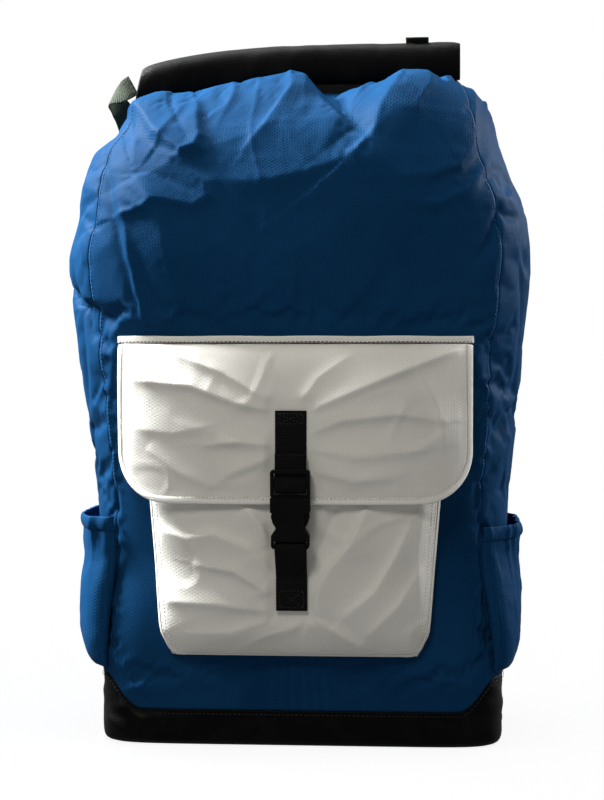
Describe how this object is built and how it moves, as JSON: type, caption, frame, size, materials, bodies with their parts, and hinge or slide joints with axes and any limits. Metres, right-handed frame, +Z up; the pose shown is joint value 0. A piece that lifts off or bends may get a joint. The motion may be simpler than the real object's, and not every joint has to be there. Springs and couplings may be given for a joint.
{
  "type": "ski backpack",
  "caption": "Roll-top ski backpack with a stuffed ripstop body, buckled flap pocket, stretch side pockets, reinforced base and padded harness.",
  "frame": {"origin": "centre of the footprint of the whole backpack's bounding box, on the floor it stands on", "axes": "+Z up, from the base to the rolled top; -Y the front, with the flap pocket; +Y the side with the harness; +X to the right as seen from the front"},
  "size_m": [0.3913, 0.3254, 0.5974],
  "materials": {
    "blue_ripstop": "coated ripstop nylon with a satin sheen and a fine grid",
    "white_ripstop": "off-white ripstop, matte",
    "white_tape": "woven binding tape, matte",
    "black_coated": "black coated pack cloth, low sheen",
    "black_webbing": "ribbed nylon webbing",
    "olive_webbing": "dark grey-green nylon webbing",
    "black_plastic": "moulded acetal, satin",
    "black_mesh": "padded spacer mesh",
    "foam": "closed-cell foam",
    "frame_plastic": "translucent plastic sheet"
  },
  "bodies": {
    "pack": {"base_tray": "black_coated", "front_panel": "blue_ripstop", "side_panel_left": "blue_ripstop", "side_panel_right": "blue_ripstop", "back_panel": "black_coated", "mouth_collar": "black_coated", "back_foam_pad": "foam", "frame_sheet": "frame_plastic", "back_cushion": "black_mesh", "yoke_patch": "black_coated", "haul_loop": "black_webbing", "pocket_body": "white_ripstop", "flap_seam_tape": "white_tape", "pocket_strap": "black_webbing", "pocket_buckle_female": "black_plastic", "side_pocket_left": "blue_ripstop", "side_pocket_right": "blue_ripstop", "side_pocket_hem_left": "blue_ripstop", "side_pocket_hem_right": "blue_ripstop", "closure_strap_left": "black_webbing", "closure_strap_right": "black_webbing", "closure_buckle_left_female": "black_plastic", "closure_buckle_right_female": "black_plastic", "strap_wing_left": "black_coated", "strap_wing_right": "black_coated", "adjuster_webbing_left": "black_webbing", "adjuster_webbing_right": "black_webbing"},
    "flap": {"pocket_flap": "white_ripstop", "flap_edge_binding": "white_tape", "flap_strap": "black_webbing", "pocket_buckle_male": "black_plastic"},
    "pocket_arm_left": {"pocket_buckle_arm_left": "black_plastic"},
    "pocket_arm_right": {"pocket_buckle_arm_right": "black_plastic"},
    "roll_top": {"rolled_collar": "black_coated", "collar_stiffener": "frame_plastic", "roll_end_webbing_left": "olive_webbing", "roll_end_webbing_right": "olive_webbing", "closure_buckle_left_male": "black_plastic", "closure_buckle_right_male": "black_plastic"},
    "closure_left_arm_left": {"closure_buckle_left_arm_left": "black_plastic"},
    "closure_left_arm_right": {"closure_buckle_left_arm_right": "black_plastic"},
    "closure_right_arm_left": {"closure_buckle_right_arm_left": "black_plastic"},
    "closure_right_arm_right": {"closure_buckle_right_arm_right": "black_plastic"},
    "harness_left": {"shoulder_strap_left": "black_mesh", "ladder_lock_left": "black_plastic", "ladder_loop_left": "black_webbing"},
    "harness_right": {"shoulder_strap_right": "black_mesh", "ladder_lock_right": "black_plastic", "ladder_loop_right": "black_webbing", "sternum_webbing_right": "black_webbing", "sternum_buckle_female": "black_plastic"},
    "sternum_half": {"sternum_webbing_left": "black_webbing", "sternum_buckle_male": "black_plastic"},
    "sternum_arm_left": {"sternum_buckle_arm_left": "black_plastic"},
    "sternum_arm_right": {"sternum_buckle_arm_right": "black_plastic"}
  },
  "joints": [
    {"name": "flap_hinge", "type": "hinge", "parent": "pack", "child": "flap", "pos_m": [0.00175, -0.133, 0.33], "axis": [-1, 0, 0], "range_deg": [0, 150], "deforming": ["pocket_buckle_male", "pocket_buckle_arm_left", "pocket_buckle_arm_right"]},
    {"name": "roll_top_lift", "type": "slide", "parent": "pack", "child": "roll_top", "axis": [0, 0, 1], "range_m": [0, 0.12], "deforming": ["closure_buckle_left_male", "closure_buckle_right_male", "closure_buckle_left_arm_left", "closure_buckle_left_arm_right", "closure_buckle_right_arm_left", "closure_buckle_right_arm_right"]},
    {"name": "harness_left_swing", "type": "hinge", "parent": "pack", "child": "harness_left", "pos_m": [0, 0.0841, 0.488], "axis": [1, 0, 0], "range_deg": [0, 20], "deforming": ["adjuster_webbing_left"]},
    {"name": "harness_right_swing", "type": "hinge", "parent": "pack", "child": "harness_right", "pos_m": [0, 0.0841, 0.488], "axis": [1, 0, 0], "range_deg": [0, 20], "deforming": ["adjuster_webbing_right"]},
    {"name": "sternum_release", "type": "slide", "parent": "harness_left", "child": "sternum_half", "axis": [-1, 0, 0], "range_m": [0, 0.03], "deforming": ["sternum_buckle_male", "sternum_buckle_arm_left", "sternum_buckle_arm_right"]},
    {"name": "pocket_squeeze_left", "type": "hinge", "parent": "flap", "child": "pocket_arm_left", "pos_m": [-0.00875, -0.15767, 0.2087], "axis": [0, 0.9981, 0.0611], "range_deg": [-11, 0], "stiffness_Nm_per_rad": 0.5},
    {"name": "pocket_squeeze_right", "type": "hinge", "parent": "flap", "child": "pocket_arm_right", "pos_m": [0.01225, -0.15767, 0.2087], "axis": [0, 0.9981, 0.0611], "range_deg": [0, 11], "stiffness_Nm_per_rad": 0.5},
    {"name": "closure_left_squeeze_left", "type": "hinge", "parent": "roll_top", "child": "closure_left_arm_left", "pos_m": [-0.15298, 0.07996, 0.46193], "axis": [0.4638, -0.8784, -0.1153], "range_deg": [-11, 0], "stiffness_Nm_per_rad": 0.5},
    {"name": "closure_left_squeeze_right", "type": "hinge", "parent": "roll_top", "child": "closure_left_arm_right", "pos_m": [-0.16785, 0.07215, 0.46162], "axis": [0.4638, -0.8784, -0.1153], "range_deg": [0, 11], "stiffness_Nm_per_rad": 0.5},
    {"name": "closure_right_squeeze_left", "type": "hinge", "parent": "roll_top", "child": "closure_right_arm_left", "pos_m": [0.16001, 0.07159, 0.47489], "axis": [-0.4571, -0.8569, -0.2385], "range_deg": [-11, 0], "stiffness_Nm_per_rad": 0.5},
    {"name": "closure_right_squeeze_right", "type": "hinge", "parent": "roll_top", "child": "closure_right_arm_right", "pos_m": [0.14615, 0.08014, 0.47075], "axis": [-0.4571, -0.8569, -0.2385], "range_deg": [0, 11], "stiffness_Nm_per_rad": 0.5},
    {"name": "sternum_squeeze_left", "type": "hinge", "parent": "sternum_half", "child": "sternum_arm_left", "pos_m": [0.00799, 0.15874, 0.3804], "axis": [0, -1, 0], "range_deg": [-11, 0], "stiffness_Nm_per_rad": 0.5},
    {"name": "sternum_squeeze_right", "type": "hinge", "parent": "sternum_half", "child": "sternum_arm_right", "pos_m": [0.00799, 0.15874, 0.3636], "axis": [0, -1, 0], "range_deg": [0, 11], "stiffness_Nm_per_rad": 0.5}
  ],
  "couplings": [
    {"joint": "harness_right_swing", "follows": "harness_left_swing", "ratio": 1},
    {"joint": "pocket_squeeze_left", "follows": "pocket_squeeze_right", "ratio": -1},
    {"joint": "closure_left_squeeze_left", "follows": "closure_left_squeeze_right", "ratio": -1},
    {"joint": "closure_right_squeeze_left", "follows": "closure_right_squeeze_right", "ratio": -1},
    {"joint": "sternum_squeeze_left", "follows": "sternum_squeeze_right", "ratio": -1}
  ]
}
